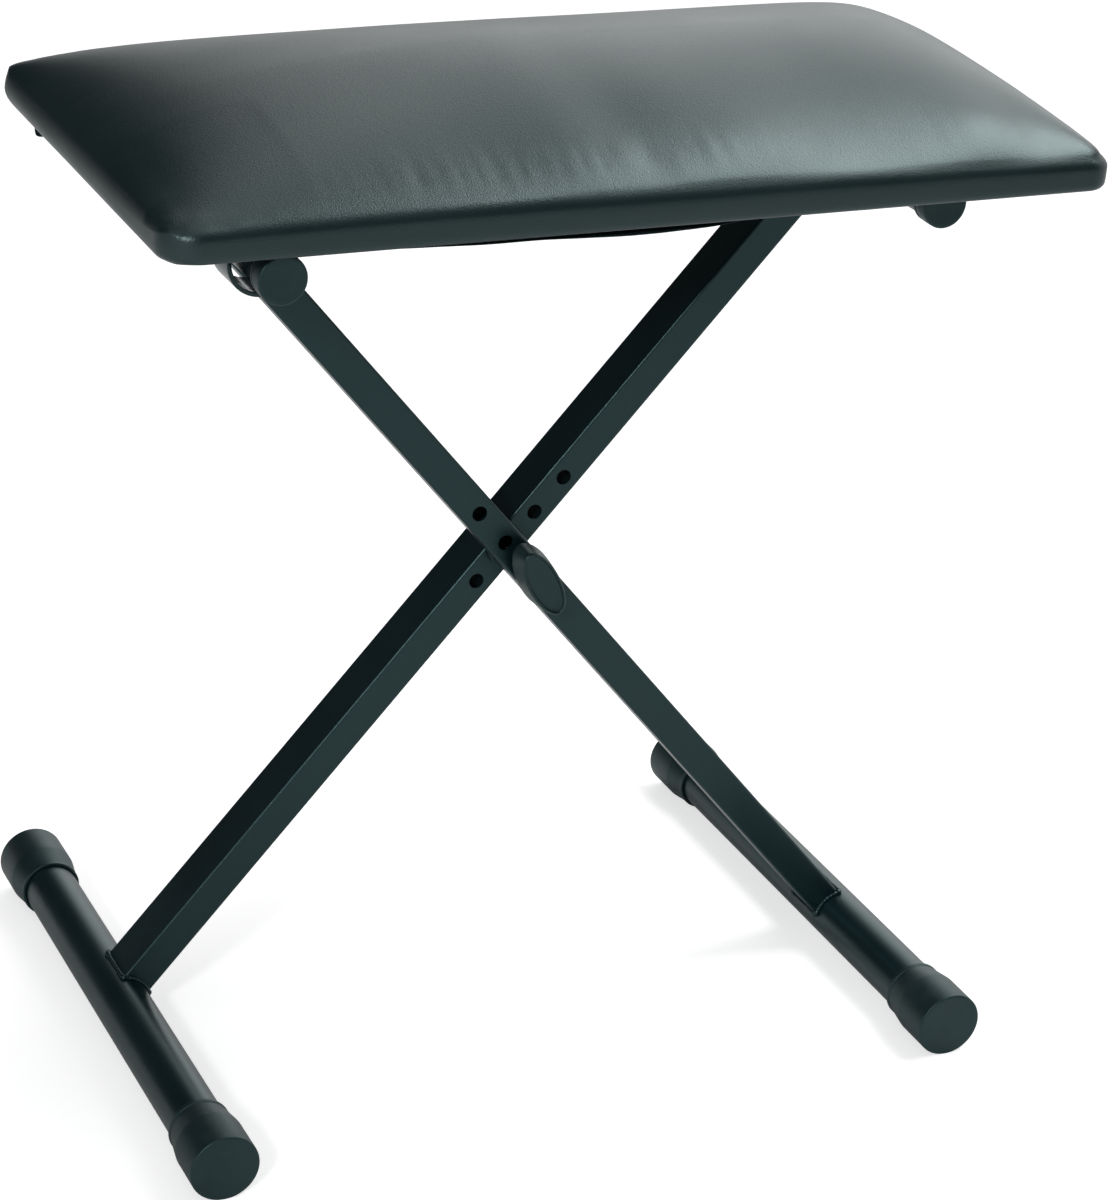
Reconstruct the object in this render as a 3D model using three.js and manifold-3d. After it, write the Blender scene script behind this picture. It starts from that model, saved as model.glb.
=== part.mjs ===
// Folding keyboard bench: two T-shaped steel frames, crossed at a clamping knob, under a padded seat.
// Millimetres, +Z up. X runs along the seat, Y away from the player, and the floor is z = 0.
import * as THREE from 'three';
import { mergeVertices } from 'three/addons/utils/BufferGeometryUtils.js';
import Module from 'manifold-3d';

const wasm = await Module();
wasm.setup();

// Clearances
const touchGap = 0.3;
const runningGap = 0.4;
const screwClearance = 0.4;
const cutOverrun = 6;
const mergeDistance = 1e-4;

// Sides of the round pieces
const barSides = 24;
const capSides = 24;
const holeSides = 16;
const screwSides = 12;
const bendSteps = 3;
const bowSteps = 10;

// Leg tubes: width lies in the plane of the cross, depth lies along Y
const leg = { width: 20, depth: 30, wall: 1.5, cornerRadius: 2.5, holeRadius: 4.5, holePitch: 26 };
const holesAbovePivot = 2;
const holesBelowPivot = 1;
const legGap = 6.5;
const legPlaneY = -8.75;

// Seat: plywood board, foam, and a vinyl cover turned under the board
const seat = {
  length: 536, depth: 294, leftOverhang: 64.5, rightOverhang: 79.5, forward: 4.25, cornerRadius: 18,
  cornerHeight: 17, frontRise: 2.6, rearRise: 8, drawIn: 3, crown: 45, coverWall: 1.2, turnUnder: 24,
  edgeRadius: 3,
};
const board = { thickness: 12 };
const lining = { thickness: 0.8, inset: 10 };

// Form of the crown: how flat its middle is and how round its shoulder, towards each side, and how
// sharp the hips are between the sides
const crownLeft = { flatness: 1.7, roundness: 0.43 };
const crownRight = { flatness: 9.5, roundness: 1.17 };
const crownFront = { flatness: 1.87, roundness: 0.82 };
const crownRear = { flatness: 1.42, roundness: 0.7 };
const hipSharpness = { front: 2, rear: 3 };
const sideRiseFlatness = 6;
const crownRingShares = [0.12, 0.28, 0.45, 0.62, 0.76, 0.87, 0.95];
const cornerSteps = 4;
const longSideSteps = 9;
const shortSideSteps = 5;

// Foot bars on the floor, and the rubber caps over their ends
const footBar = { radius: 16, wall: 1.5, length: 368, spread: 456, leftY: -4, rightY: 4 };
const footCap = {
  radius: 20, mouthRadius: 17.6, sleeveLength: 44, flareLength: 15, lipLength: 3,
  faceThickness: 4, faceEdge: 2.2, floorFlat: 0.5,
};

// Top bars under the seat, with smaller caps
const topBarInset = 22;
const topBar = {
  radius: 11, wall: 1.5, length: seat.depth - 2 * topBarInset, height: 509, leftY: -23.5, rightY: 4.5,
};
const topCap = {
  radius: 13.2, mouthRadius: 12.6, sleeveLength: 13, flareLength: 3, lipLength: 2,
  faceThickness: 3, faceEdge: 1.8, floorFlat: 0,
};

// Weld beads round the legs' ends
const weld = { width: 3.2, cornerRadius: 4 };

// Clamping bolt: knob and stud in front, spacer between the legs, washer and nut behind
const stud = { radius: 4, nutBoreGap: 0.25, tipLength: 3, tipChamfer: 1, knobDepth: 15 };
const frontWasher = { radius: 10, thickness: 1.6 };
const spacer = { radius: 12 };
const rearWasher = { radius: 10, thickness: 1.6 };
const nut = { acrossFlats: 13, thickness: 8 };
const knob = {
  length: 45, width: 19, baseLength: 47, baseWidth: 22, height: 17.5, hubRadius: 9, hubHeight: 3,
  baseEdge: 1.2, faceEdge: 1.2, dishDepth: 0.6, rim: 1.6, turn: THREE.MathUtils.degToRad(-60),
};
const knobSides = 32;

// Brackets: a bearing plate with a loose strap on the left bar, a saddle hook on the right bar
const bracket = { width: 22, reach: 32, thickness: 2.5, capGap: 17, screwOffset: 25, bendRadius: 3 };
const strap = { innerRadius: 15 };
const hook = { innerDrop: 8, outerLipAngle: THREE.MathUtils.degToRad(45) };
const screw = { headRadius: 4.6, headHeight: 2.6, headEdge: 0.9, radius: 2.1, bite: 11.5, pointLength: 2 };

// Places that follow from the sizes
const footAxisZ = footCap.radius - footCap.floorFlat;
const footX = footBar.spread / 2;
const topX = (seat.length - seat.leftOverhang - seat.rightOverhang) / 2;
const pivotX = (seat.leftOverhang - seat.rightOverhang) / 2;
const legRise = topBar.height - footAxisZ;
const legRun = footX + topX;
const legLean = Math.atan2(legRun, legRise);
const pivotZ = footAxisZ + legRise * footX / legRun;
const upperArm = topX / Math.sin(legLean);
const lowerArm = footX / Math.sin(legLean);
const legInset = (leg.depth + legGap) / 2;
const frontLegY = legPlaneY - legInset;
const rearLegY = legPlaneY + legInset;
const frontFaceY = frontLegY - leg.depth / 2;
const rearFaceY = rearLegY + leg.depth / 2;
const seatY = legPlaneY - seat.forward;
const bracketOffset = topBar.length / 2 - topCap.sleeveLength - bracket.capGap - bracket.width / 2;

// Heights of the layers under and in the seat, from the top bars upwards
const plateBottom = topBar.radius + runningGap;
const plateTop = plateBottom + bracket.thickness;
const liningBottomZ = topBar.height + plateTop + touchGap;
const coverBottomZ = liningBottomZ + lining.thickness + touchGap;
const boardBottomZ = coverBottomZ + seat.coverWall + touchGap;
const boardTopZ = boardBottomZ + board.thickness;

// Finishes
const finishes = {
  powderCoat: { color: 0x0d1517, roughness: 0.42, metalness: 0.35 },
  weldBead: { color: 0x0c1315, roughness: 0.5, metalness: 0.35 },
  rubber: { color: 0x14191a, roughness: 0.62, metalness: 0 },
  knobPlastic: { color: 0x1a2224, roughness: 0.5, metalness: 0 },
  zinc: { color: 0x8b9093, roughness: 0.35, metalness: 1 },
  glossEnamel: { color: 0x07090a, roughness: 0.18, metalness: 0.2 },
  blackScrew: { color: 0x121516, roughness: 0.35, metalness: 0.6 },
  nylon: { color: 0x1b1e1f, roughness: 0.55, metalness: 0 },
  vinyl: { color: 0x16201f, roughness: 0.38, metalness: 0 },
  foam: { color: 0xb9b39b, roughness: 0.95, metalness: 0 },
  plywood: { color: 0xa98556, roughness: 0.8, metalness: 0 },
  felt: { color: 0x0c0d0e, roughness: 0.95, metalness: 0 },
};

// Closed geometry: shared vertices merged, and triangles with no area dropped
function closed(geometry) {
  const bare = geometry.clone();
  bare.deleteAttribute('normal');
  bare.deleteAttribute('uv');
  const merged = mergeVertices(bare, mergeDistance);
  const corners = merged.index.array;
  const kept = [];
  for (let i = 0; i < corners.length; i += 3) {
    const [a, b, c] = corners.slice(i, i + 3);
    if (a !== b && b !== c && c !== a) kept.push(a, b, c);
  }
  merged.setIndex(kept);
  return merged;
}

function solidOf(geometry) {
  const merged = closed(geometry);
  return new wasm.Manifold(new wasm.Mesh({
    numProp: 3,
    vertProperties: new Float32Array(merged.attributes.position.array),
    triVerts: new Uint32Array(merged.index.array),
  }));
}

function geometryOf(solid) {
  const mesh = solid.getMesh();
  const geometry = new THREE.BufferGeometry();
  geometry.setAttribute('position', new THREE.BufferAttribute(mesh.vertProperties, 3));
  geometry.setIndex(new THREE.BufferAttribute(mesh.triVerts, 1));
  return geometry;
}

// The first geometry with the others cut away
function cut(geometry, ...cutters) {
  const start = solidOf(geometry);
  return geometryOf(cutters.reduce((rest, cutter) => rest.subtract(solidOf(cutter)), start));
}

// One named piece
function piece(name, geometry, finish) {
  const shape = closed(geometry);
  shape.computeVertexNormals();
  const mesh = new THREE.Mesh(shape, new THREE.MeshStandardMaterial(finishes[finish]));
  mesh.name = name;
  return mesh;
}

// Outline points turned round the Y axis: [radius, y], from low y to high y on the outside
function turned(profile, sides) {
  return new THREE.LatheGeometry(profile.map(([r, y]) => new THREE.Vector2(r, y)), sides);
}

function ringProfile(inner, outer, length) {
  return [[inner, -length / 2], [outer, -length / 2], [outer, length / 2],
    [inner, length / 2], [inner, -length / 2]];
}

function rod(radius, length, sides) {
  return new THREE.CylinderGeometry(radius, radius, length, sides);
}

// Rectangle with rounded corners, centred on the origin
function roundedRectangle(width, height, radius) {
  const shape = new THREE.Shape();
  const x = width / 2 - radius;
  const y = height / 2 - radius;
  const quarter = Math.PI / 2;
  [[x, -y], [x, y], [-x, y], [-x, -y]].forEach(([cx, cy], i) => {
    shape.absarc(cx, cy, radius, (i - 1) * quarter, i * quarter, false);
  });
  shape.closePath();
  return shape;
}

function extruded(shape, length) {
  return new THREE.ExtrudeGeometry(shape, { depth: length, bevelEnabled: false, curveSegments: bendSteps });
}

// Closed skin from one pole, through a stack of rings, to the other pole
function skin(firstPole, rings, lastPole) {
  const sides = rings[0].length;
  const points = [firstPole, ...rings.flat(), lastPole];
  const last = points.length - 1;
  const index = [];
  for (let k = 0; k < sides; k += 1) {
    const next = (k + 1) % sides;
    index.push(0, 1 + k, 1 + next);
    for (let i = 0; i + 1 < rings.length; i += 1) {
      const a = 1 + i * sides;
      const b = a + sides;
      index.push(a + k, b + k, b + next, a + k, b + next, a + next);
    }
    const end = 1 + (rings.length - 1) * sides;
    index.push(end + k, last, end + next);
  }
  const geometry = new THREE.BufferGeometry();
  geometry.setAttribute('position', new THREE.Float32BufferAttribute(points.flat(), 3));
  geometry.setIndex(index);
  return geometry;
}

// Leg tube along its own Z, with coped ends and the height holes
function legTube() {
  const length = upperArm + lowerArm;
  const outline = roundedRectangle(leg.width, leg.depth, leg.cornerRadius);
  const innerRadius = leg.cornerRadius - leg.wall;
  const inner = roundedRectangle(leg.width - 2 * leg.wall, leg.depth - 2 * leg.wall, innerRadius);
  outline.holes.push(inner);
  const tube = extruded(outline, length).translate(0, 0, -lowerArm);
  const holes = [];
  for (let place = -holesBelowPivot; place <= holesAbovePivot; place += 1) {
    const hole = rod(leg.holeRadius, leg.depth + cutOverrun, holeSides);
    holes.push(hole.translate(0, 0, place * leg.holePitch));
  }
  return cut(
    tube,
    rod(topBar.radius + touchGap, leg.depth + cutOverrun, barSides).translate(0, 0, upperArm),
    rod(footBar.radius + touchGap, leg.depth + cutOverrun, barSides).translate(0, 0, -lowerArm),
    ...holes,
  );
}

// Bead of weld that hugs a leg's end and the bar that it meets, with the bar's axis on Y.
// The leg stands on the +Z side, or on the -Z side where side is -1.
function weldBead(barRadius, side) {
  const bead = weld.width + touchGap;
  const reach = barRadius + bead;
  const outline = roundedRectangle(leg.width + 2 * bead, leg.depth + 2 * bead, weld.cornerRadius);
  const clearOutline = roundedRectangle(
    leg.width + 2 * touchGap, leg.depth + 2 * touchGap, leg.cornerRadius + touchGap,
  );
  const collar = solidOf(extruded(outline, reach));
  const legHole = solidOf(extruded(clearOutline, reach + 2 * cutOverrun).translate(0, 0, -cutOverrun));
  const round = solidOf(rod(reach, leg.depth + 2 * bead + cutOverrun, barSides));
  const barHole = solidOf(rod(barRadius + touchGap, leg.depth + 2 * bead + cutOverrun, barSides));
  const geometry = geometryOf(collar.intersect(round).subtract(barHole).subtract(legHole));
  return side < 0 ? geometry.rotateY(Math.PI) : geometry;
}

// Rubber cap, open towards +Y, with its face on the -Y side and a flat where it meets the floor
function barCap(cap, bar) {
  const face = -cap.sleeveLength / 2;
  const mouth = cap.sleeveLength / 2;
  const bore = bar.radius + touchGap;
  const flareEnd = mouth - cap.lipLength;
  const geometry = turned([
    [0, face],
    [cap.radius - cap.faceEdge, face],
    [cap.radius - cap.faceEdge / 3, face + cap.faceEdge / 3],
    [cap.radius, face + cap.faceEdge],
    [cap.radius, flareEnd - cap.flareLength],
    [cap.mouthRadius, flareEnd],
    [cap.mouthRadius, mouth],
    [bore, mouth],
    [bore, face + cap.faceThickness],
    [0, face + cap.faceThickness],
  ], capSides);
  if (cap.floorFlat === 0) return geometry;
  const size = 2 * (cap.radius + cutOverrun);
  const floor = new THREE.BoxGeometry(size, cap.sleeveLength + cutOverrun, size);
  return cut(geometry, floor.translate(0, 0, cap.floorFlat - cap.radius - size / 2));
}

// One bar with its two caps, named from its place, and the group set on the bar's axis
function cappedBar(name, bar, cap, finish) {
  const group = new THREE.Group();
  const tubeLength = bar.length - 2 * (cap.faceThickness + touchGap);
  const tube = ringProfile(bar.radius - bar.wall, bar.radius, tubeLength);
  group.add(piece(`${name}_bar`, turned(tube, barSides), finish));
  const capY = (bar.length - cap.sleeveLength) / 2;
  for (const [end, side] of [['front', -1], ['rear', 1]]) {
    const rubber = piece(`${name}_cap_${end}`, barCap(cap, bar), 'rubber');
    rubber.position.y = side * capY;
    rubber.rotation.z = side > 0 ? Math.PI : 0;
    group.add(rubber);
  }
  return group;
}

// One T-shaped frame: a leg leaning to one side, its foot bar and its top bar
function legFrame(name, side, y, topY, footY) {
  const group = new THREE.Group();
  const leaning = new THREE.Group();
  leaning.position.set(pivotX, y, pivotZ);
  leaning.rotation.y = side * legLean;
  leaning.add(piece(`${name}_leg_tube`, legTube(), 'powderCoat'));
  const topWeld = piece(`${name}_leg_top_weld`, weldBead(topBar.radius, -1), 'weldBead');
  topWeld.position.z = upperArm;
  const footWeld = piece(`${name}_leg_foot_weld`, weldBead(footBar.radius, 1), 'weldBead');
  footWeld.position.z = -lowerArm;
  leaning.add(topWeld, footWeld);
  const [topName, footName] = side > 0 ? ['right_top', 'left_foot'] : ['left_top', 'right_foot'];
  const top = cappedBar(topName, topBar, topCap, 'powderCoat');
  top.position.set(pivotX + side * topX, topY, topBar.height);
  const foot = cappedBar(footName, footBar, footCap, 'powderCoat');
  foot.position.set(pivotX - side * footX, footY, footAxisZ);
  group.add(leaning, top, foot);
  return group;
}

// Oval ring of the knob, in its own X and Y
function ovalRing(length, width, z) {
  const ring = [];
  for (let k = 0; k < knobSides; k += 1) {
    const angle = 2 * Math.PI * k / knobSides;
    ring.push([length / 2 * Math.cos(angle), width / 2 * Math.sin(angle), z]);
  }
  return ring;
}

// Oval knob on a round hub, standing up along its own Z, with a shallow dish in its face and a bore
// for the stud
function knobGeometry() {
  const { length, width, baseLength, baseWidth, baseEdge, height, hubRadius, hubHeight } = knob;
  const { faceEdge, dishDepth, rim } = knob;
  const faceLength = length - 2 * faceEdge;
  const faceWidth = width - 2 * faceEdge;
  const rings = [
    ovalRing(faceLength - 2 * (rim + dishDepth), faceWidth - 2 * (rim + dishDepth), height - dishDepth),
    ovalRing(faceLength - 2 * rim, faceWidth - 2 * rim, height),
    ovalRing(faceLength, faceWidth, height),
    ovalRing(length, width, height - faceEdge),
    ovalRing(baseLength, baseWidth, hubHeight + baseEdge),
    ovalRing(baseLength - 2 * baseEdge, baseWidth - 2 * baseEdge, hubHeight),
    ovalRing(2 * hubRadius, 2 * hubRadius, hubHeight),
    ovalRing(2 * hubRadius, 2 * hubRadius, 0),
  ];
  const body = skin([0, 0, height - dishDepth], rings, [0, 0, 0]);
  const bore = rod(stud.radius + touchGap, 2 * (stud.knobDepth + touchGap), holeSides).rotateX(Math.PI / 2);
  return cut(body, bore).rotateZ(knob.turn);
}

function washerPiece(name, { radius }, thickness, finish) {
  return piece(name, turned(ringProfile(leg.holeRadius, radius, thickness), capSides), finish);
}

// Everything on the clamping bolt's axis
function clampBolt() {
  const group = new THREE.Group();
  group.position.set(pivotX, 0, pivotZ);
  const washerY = frontFaceY - touchGap - frontWasher.thickness / 2;
  const knobY = washerY - frontWasher.thickness / 2 - touchGap;
  const rearWasherY = rearFaceY + touchGap + rearWasher.thickness / 2;
  const nutY = rearWasherY + rearWasher.thickness / 2 + touchGap + nut.thickness / 2;

  const front = washerPiece('knob_washer', frontWasher, frontWasher.thickness, 'zinc');
  front.position.y = washerY;
  const middle = washerPiece('leg_spacer', spacer, legGap - 2 * touchGap, 'nylon');
  middle.position.y = legPlaneY;
  const rear = washerPiece('rear_washer', rearWasher, rearWasher.thickness, 'zinc');
  rear.position.y = rearWasherY;

  const hexagon = rod(nut.acrossFlats / Math.sqrt(3), nut.thickness, 6);
  const nutBore = rod(stud.radius + stud.nutBoreGap, nut.thickness + cutOverrun, holeSides);
  const lockNut = piece('lock_nut', cut(hexagon, nutBore), 'zinc');
  lockNut.position.y = nutY;

  const studStart = knobY - stud.knobDepth;
  const studEnd = nutY + nut.thickness / 2 + stud.tipLength;
  const studShape = turned([
    [0, studStart],
    [stud.radius, studStart],
    [stud.radius, studEnd - stud.tipChamfer],
    [stud.radius - stud.tipChamfer, studEnd],
    [0, studEnd],
  ], holeSides);

  const grip = piece('clamp_knob', knobGeometry(), 'knobPlastic');
  grip.position.y = knobY;
  grip.rotation.x = Math.PI / 2;
  group.add(front, middle, rear, lockNut, piece('knob_stud', studShape, 'zinc'), grip);
  return group;
}

// Points of the seat's outline, drawn in from the full size, counter-clockwise seen from above.
// Each has its place [x, y], and its shares of the half sizes on the outline with square corners.
function seatOutline(inset) {
  const radius = Math.max(seat.cornerRadius - inset, seat.edgeRadius);
  const halfLength = seat.length / 2 - inset;
  const halfDepth = seat.depth / 2 - inset;
  const x = halfLength - radius;
  const y = halfDepth - radius;
  const places = [];
  const corners = [
    [x, -y, shortSideSteps], [x, y, longSideSteps], [-x, y, shortSideSteps], [-x, -y, longSideSteps],
  ];
  const add = (cx, cy, alongX, alongY, square) => places.push({
    x: cx + alongX,
    y: cy + alongY,
    shareX: (cx + alongX * square) / halfLength,
    shareY: (cy + alongY * square) / halfDepth,
  });
  corners.forEach(([cx, cy, straightSteps], i) => {
    for (let k = 0; k <= cornerSteps; k += 1) {
      const angle = (i - 1 + k / cornerSteps) * Math.PI / 2;
      const [across, up] = [Math.cos(angle), Math.sin(angle)];
      add(cx, cy, radius * across, radius * up, 1 / Math.max(Math.abs(across), Math.abs(up)));
    }
    const [nextX, nextY] = corners[(i + 1) % corners.length];
    const start = places[places.length - 1];
    const along = i % 2 === 0 ? [0, nextY - cy] : [nextX - cx, 0];
    for (let k = 1; k < straightSteps; k += 1) {
      const share = k / straightSteps;
      add(start.x, start.y, along[0] * share, along[1] * share, 1);
    }
  });
  return places;
}

// Height of the cushion's sides above the cover's underside: lowest at the corners
function sideHeight(shareX, shareY) {
  const rise = shareY < 0 ? seat.frontRise : seat.rearRise;
  return seat.cornerHeight + rise * (1 - shareX ** 2) * Math.abs(shareY) ** sideRiseFlatness;
}

// Height of the crown above the sides, by the lower of its two profiles with a soft hip between them
function crownHeight(shareX, shareY) {
  const profile = (share, { flatness, roundness }) => (1 - Math.abs(share) ** flatness) ** roundness;
  const along = profile(shareX, shareX < 0 ? crownLeft : crownRight);
  const across = profile(shareY, shareY < 0 ? crownFront : crownRear);
  const hip = shareY < 0 ? hipSharpness.front : hipSharpness.rear;
  return seat.crown * (along ** -hip + across ** -hip - 1) ** (-1 / hip);
}

// Crowned cushion with sides that draw in, offset inwards from the outer skin by the inset
function cushionBody(inset) {
  const { edgeRadius, drawIn } = seat;
  const bottom = coverBottomZ + inset;
  const sides = seatOutline(inset);
  const sideRing = (more, heightOf) => seatOutline(inset + more).map(({ x, y }, k) => {
    const top = coverBottomZ + sideHeight(sides[k].shareX, sides[k].shareY) - inset;
    return [x, y + seatY, heightOf(top)];
  });
  const crownRings = crownRingShares.map((ring) => seatOutline(inset + drawIn).map((place) => {
    const [shareX, shareY] = [place.shareX * ring, place.shareY * ring];
    const height = sideHeight(shareX, shareY) + crownHeight(shareX, shareY);
    return [place.x * ring, place.y * ring + seatY, coverBottomZ + height - inset];
  }));
  return skin([0, seatY, coverBottomZ + seat.cornerHeight + seat.crown - inset], [
    ...crownRings,
    sideRing(drawIn, (top) => top),
    sideRing(drawIn / 4, (top) => top - edgeRadius),
    sideRing(0, () => bottom + 2 * edgeRadius),
    sideRing(0, () => bottom + edgeRadius),
    sideRing(edgeRadius / 3, () => bottom + edgeRadius / 3),
    sideRing(edgeRadius, () => bottom),
  ], [0, seatY, bottom]);
}

// Block as wide as the seat that fills the heights between two values
function slab(bottom, top) {
  const size = 2 * seat.length;
  return new THREE.BoxGeometry(size, size, top - bottom).translate(0, 0, (top + bottom) / 2);
}

// Vinyl cover: over the crown, down the sides and turned under the board
function coverGeometry() {
  const opening = panel(seat.turnUnder, coverBottomZ - cutOverrun, seat.coverWall + 2 * cutOverrun);
  return cut(cushionBody(0), cushionBody(seat.coverWall), opening);
}

// Foam that fills the cover above the board
function foamGeometry() {
  const core = cushionBody(seat.coverWall + touchGap);
  return cut(core, slab(coverBottomZ - cutOverrun, boardTopZ + touchGap));
}

// Bracket places: the bar's X, the bracket's Y and the bar's height
function bracketPlaces(side, barY) {
  return [['front', -1], ['rear', 1]].map(([end, sign]) => ({
    end, x: pivotX + side * topX, y: barY + sign * bracketOffset,
  }));
}

const strapPlaces = bracketPlaces(-1, topBar.leftY);
const hookPlaces = bracketPlaces(1, topBar.rightY);
const screwPlaces = [...strapPlaces, ...hookPlaces].flatMap(({ x, y }) => [
  [x - bracket.screwOffset, y], [x + bracket.screwOffset, y],
]);

// Upright holes at all the screws, between two heights
function screwHoles(bottom, top) {
  const radius = screw.radius + screwClearance;
  return screwPlaces.map(([x, y]) => rod(radius, top - bottom, screwSides)
    .rotateX(Math.PI / 2).translate(x, y, (top + bottom) / 2));
}

// Thin or thick panel in the seat's outline
function panel(inset, bottom, thickness) {
  const shape = new THREE.Shape(seatOutline(inset).map(({ x, y }) => new THREE.Vector2(x, y)));
  return extruded(shape, thickness).translate(0, seatY, bottom);
}

function boardGeometry() {
  const core = cushionBody(seat.coverWall + touchGap);
  const holeTop = liningBottomZ + screw.bite + touchGap;
  const above = slab(boardTopZ, boardTopZ + 2 * seat.crown);
  return cut(core, above, ...screwHoles(boardBottomZ - cutOverrun, holeTop));
}

function liningGeometry() {
  const holes = screwHoles(liningBottomZ - cutOverrun, liningBottomZ + cutOverrun);
  return cut(panel(lining.inset, liningBottomZ, lining.thickness), ...holes);
}

// Screw holes through a bracket, in the bracket's own place
function bracketHoles() {
  return [-1, 1].map((side) => rod(screw.radius + screwClearance, 2 * (plateTop + cutOverrun), screwSides)
    .rotateX(Math.PI / 2).translate(side * bracket.screwOffset, 0, 0));
}

function plateGeometry() {
  const plate = new THREE.BoxGeometry(2 * bracket.reach, bracket.width, bracket.thickness);
  return cut(plate.translate(0, 0, plateBottom + bracket.thickness / 2), ...bracketHoles());
}

// Strap that hangs loosely under the left bar, seen from the front
function strapGeometry() {
  const inner = strap.innerRadius;
  const outer = inner + bracket.thickness;
  const top = plateBottom - touchGap;
  const bottom = top - bracket.thickness;
  const bend = bracket.bendRadius;
  const shape = new THREE.Shape();
  shape.moveTo(-bracket.reach, top);
  shape.lineTo(-bracket.reach, bottom);
  shape.lineTo(-outer, bottom);
  shape.lineTo(-outer, 0);
  shape.absarc(0, 0, outer, Math.PI, 2 * Math.PI, false);
  shape.lineTo(outer, bottom);
  shape.lineTo(bracket.reach, bottom);
  shape.lineTo(bracket.reach, top);
  shape.lineTo(inner + bend, top);
  shape.absarc(inner + bend, top - bend, bend, Math.PI / 2, Math.PI, false);
  shape.lineTo(inner, 0);
  shape.absarc(0, 0, inner, 0, -Math.PI, true);
  shape.lineTo(-inner, top - bend);
  shape.absarc(-inner - bend, top - bend, bend, 0, Math.PI / 2, false);
  shape.closePath();
  return cut(bentStrip(shape), ...bracketHoles());
}

// Saddle over the right bar: a long lip inside, and a short one outside that lets the bar swing out
function hookGeometry() {
  const inner = plateBottom;
  const outer = inner + bracket.thickness;
  const meet = Math.asin(plateBottom / outer);
  const lip = hook.outerLipAngle;
  const shape = new THREE.Shape();
  shape.moveTo(-bracket.reach, plateTop);
  shape.lineTo(-bracket.reach, plateBottom);
  shape.lineTo(-outer * Math.cos(meet), plateBottom);
  shape.absarc(0, 0, outer, Math.PI - meet, Math.PI, false);
  shape.lineTo(-outer, -hook.innerDrop);
  shape.lineTo(-inner, -hook.innerDrop);
  shape.lineTo(-inner, 0);
  shape.absarc(0, 0, inner, Math.PI, lip, true);
  shape.lineTo(outer * Math.cos(lip), outer * Math.sin(lip));
  shape.absarc(0, 0, outer, lip, meet, false);
  shape.lineTo(bracket.reach, plateBottom);
  shape.lineTo(bracket.reach, plateTop);
  shape.closePath();
  return cut(bentStrip(shape), ...bracketHoles());
}

function bentStrip(shape) {
  const options = { depth: bracket.width, bevelEnabled: false, curveSegments: bowSteps };
  return new THREE.ExtrudeGeometry(shape, options).translate(0, 0, -bracket.width / 2).rotateX(Math.PI / 2);
}

// Pan-head screw standing on its head's underside, along Z
function screwGeometry(headTop) {
  const { headRadius, headHeight, headEdge, radius, pointLength } = screw;
  const bottom = headTop - headHeight;
  const tip = plateTop + touchGap + screw.bite;
  return turned([
    [0, bottom],
    [headRadius - 2 * headEdge, bottom],
    [headRadius, bottom + headEdge],
    [headRadius, headTop],
    [radius, headTop],
    [radius, tip - pointLength],
    [0, tip],
  ], screwSides).rotateX(Math.PI / 2);
}

function screwPair(name, headTop) {
  return [['left', -1], ['right', 1]].map(([sideName, side]) => {
    const mesh = piece(`${name}_screw_${sideName}`, screwGeometry(headTop), 'blackScrew');
    mesh.position.x = side * bracket.screwOffset;
    return mesh;
  });
}

function seatAssembly() {
  const group = new THREE.Group();
  group.add(
    piece('seat_cover', coverGeometry(), 'vinyl'),
    piece('seat_foam', foamGeometry(), 'foam'),
    piece('seat_board', boardGeometry(), 'plywood'),
    piece('seat_lining', liningGeometry(), 'felt'),
  );
  for (const { end, x, y } of strapPlaces) {
    const place = new THREE.Group();
    place.position.set(x, y, topBar.height);
    const headTop = plateBottom - 2 * touchGap - bracket.thickness;
    place.add(
      piece(`bearing_plate_${end}`, plateGeometry(), 'glossEnamel'),
      piece(`hinge_strap_${end}`, strapGeometry(), 'glossEnamel'),
      ...screwPair(`strap_${end}`, headTop),
    );
    group.add(place);
  }
  for (const { end, x, y } of hookPlaces) {
    const place = new THREE.Group();
    place.position.set(x, y, topBar.height);
    place.add(
      piece(`saddle_hook_${end}`, hookGeometry(), 'glossEnamel'),
      ...screwPair(`hook_${end}`, plateBottom - touchGap),
    );
    group.add(place);
  }
  return group;
}

const bench = new THREE.Group();
bench.add(
  legFrame('front', -1, frontLegY, topBar.leftY, footBar.rightY),
  legFrame('rear', 1, rearLegY, topBar.rightY, footBar.leftY),
  clampBolt(),
  seatAssembly(),
);

export default bench;
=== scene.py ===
"""Looks of the folding keyboard bench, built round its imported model. Metres, +Z up."""

import math
from random import Random

import bmesh
import bpy
from mathutils import Matrix, Vector, noise


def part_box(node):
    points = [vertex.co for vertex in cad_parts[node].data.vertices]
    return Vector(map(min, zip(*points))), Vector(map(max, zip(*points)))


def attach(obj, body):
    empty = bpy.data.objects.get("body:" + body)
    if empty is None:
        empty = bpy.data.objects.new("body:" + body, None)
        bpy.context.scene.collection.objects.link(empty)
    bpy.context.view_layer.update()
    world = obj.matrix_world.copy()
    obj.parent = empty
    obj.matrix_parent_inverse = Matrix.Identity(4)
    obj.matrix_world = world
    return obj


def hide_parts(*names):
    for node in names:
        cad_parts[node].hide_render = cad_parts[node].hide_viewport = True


MM = 0.001

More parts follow.
